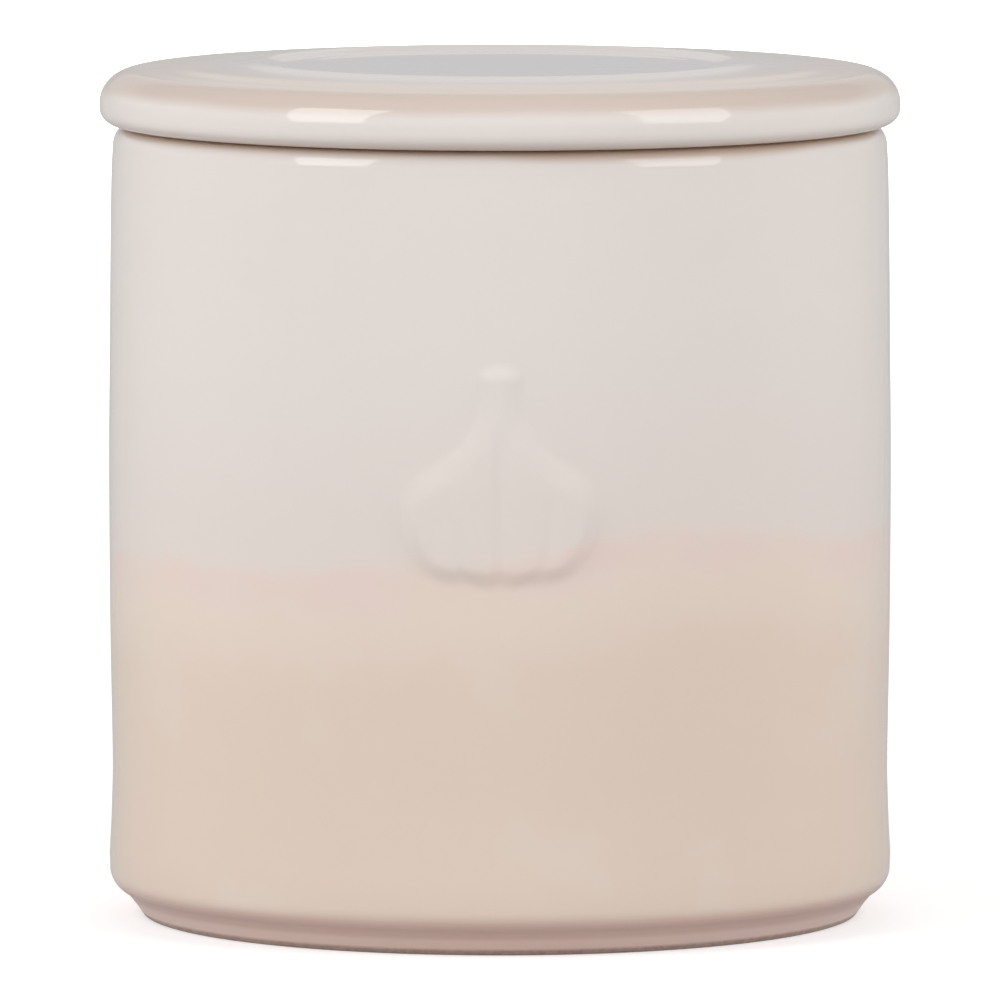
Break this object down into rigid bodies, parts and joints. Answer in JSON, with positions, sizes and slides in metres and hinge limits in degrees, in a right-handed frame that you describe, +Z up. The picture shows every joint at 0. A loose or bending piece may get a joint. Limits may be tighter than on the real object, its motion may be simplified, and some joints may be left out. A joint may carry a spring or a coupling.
{
  "type": "garlic keeper",
  "caption": "Round straight-sided jar for keeping garlic, with a raised garlic bulb on its front, vent holes through its back and a flat lid with stepped rings that lifts off.",
  "frame": {"origin": "centre of the foot ring, in the plane it stands on", "axes": "+Z up along the jar's axis, the raised garlic bulb faces -Y, the vent holes face +Y"},
  "size_m": [0.1204, 0.1204, 0.1287],
  "materials": {
    "jar_glaze": "glossy glaze, pearl white above fading to pale peach below, matt unglazed foot",
    "lid_glaze": "glossy glaze, pearl white in the middle, pale peach ring, white edge"
  },
  "bodies": {
    "jar": {"jar": "jar_glaze"},
    "lid": {"lid": "lid_glaze"}
  },
  "joints": [
    {"name": "lid_lift", "type": "slide", "parent": "jar", "child": "lid", "axis": [0, 0, 1], "range_m": [0, 0.12]}
  ]
}
